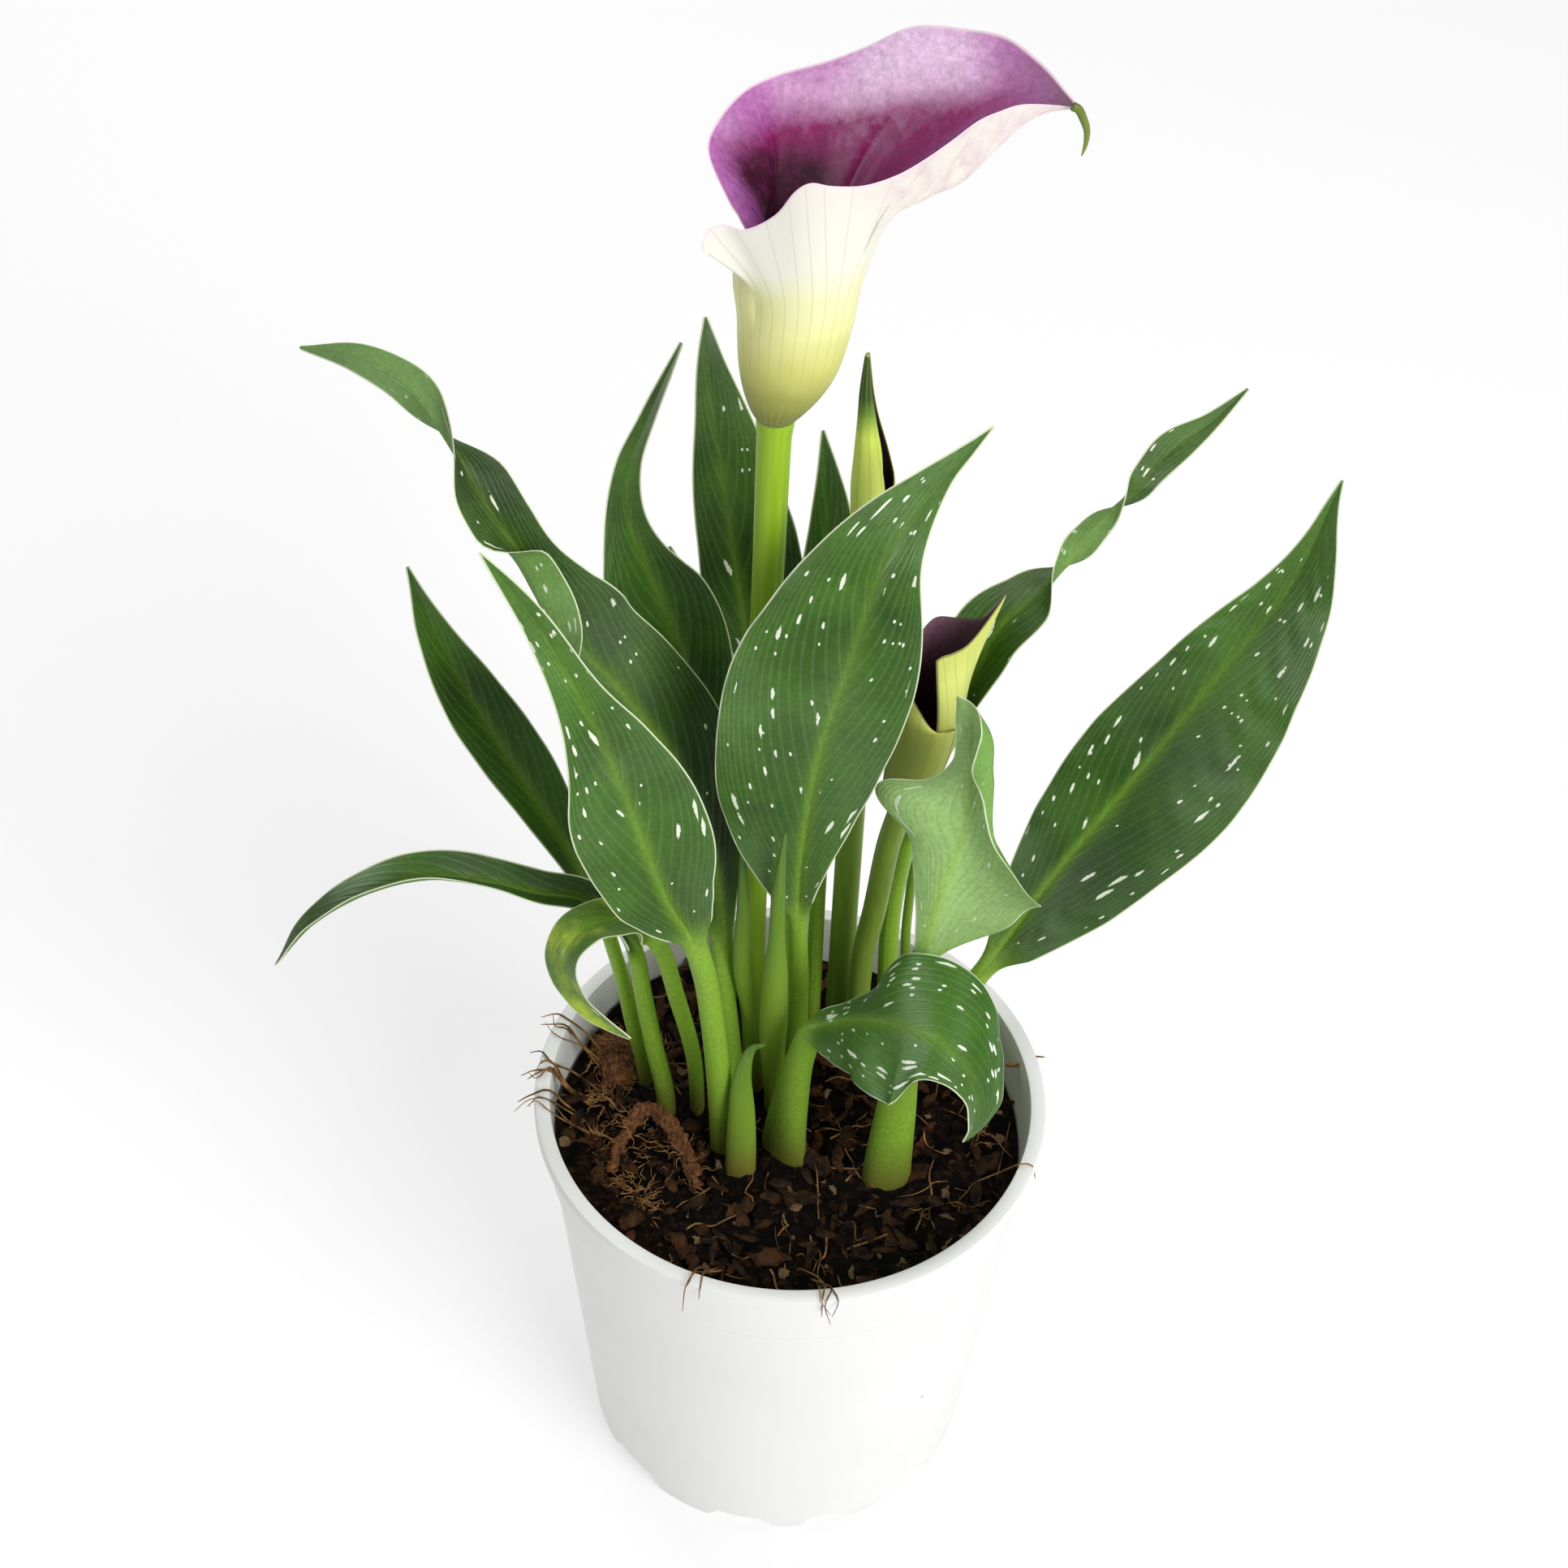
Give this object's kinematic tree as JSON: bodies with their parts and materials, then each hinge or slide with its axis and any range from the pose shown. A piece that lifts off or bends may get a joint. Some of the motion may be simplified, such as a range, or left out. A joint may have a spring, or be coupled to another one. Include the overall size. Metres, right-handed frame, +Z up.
{
  "type": "potted calla lily",
  "caption": "Potted calla lily: broad spotted leaves on upright stalks and violet trumpet blooms in a tapered white nursery pot with a notched foot.",
  "frame": {"origin": "on the pot's axis, at the bottom of its foot", "axes": "+Z up along the pot's axis and the plant; -Y is the front that the picture shows; +X is to the right seen from the front"},
  "size_m": [0.2485, 0.13, 0.3872],
  "materials": {
    "pot": "satin",
    "soil": "matte",
    "coir": "matte",
    "leaf": "satin",
    "shoot": "satin",
    "bloom": "matte",
    "bud": "matte"
  },
  "bodies": {
    "root": {"pot": "pot", "soil": "soil", "coir_chunk": "coir", "coir_arch": "coir", "leaf_tall_left": "leaf", "leaf_front_left": "leaf", "leaf_narrow_left": "leaf", "leaf_arching_left": "leaf", "leaf_small_drooping": "leaf", "leaf_back_left": "leaf", "leaf_back_small": "leaf", "leaf_back_centre": "leaf", "leaf_back_slim": "leaf", "leaf_front_centre": "leaf", "leaf_twisted_right": "leaf", "leaf_broad_right": "leaf", "leaf_cupped_right": "leaf", "leaf_low_right": "leaf", "shoot_left": "shoot", "shoot_centre": "shoot", "stalk_right": "shoot", "sheath_front": "shoot", "bloom_open": "bloom", "bloom_young": "bloom", "bloom_rolled": "bud"}
  },
  "joints": []
}
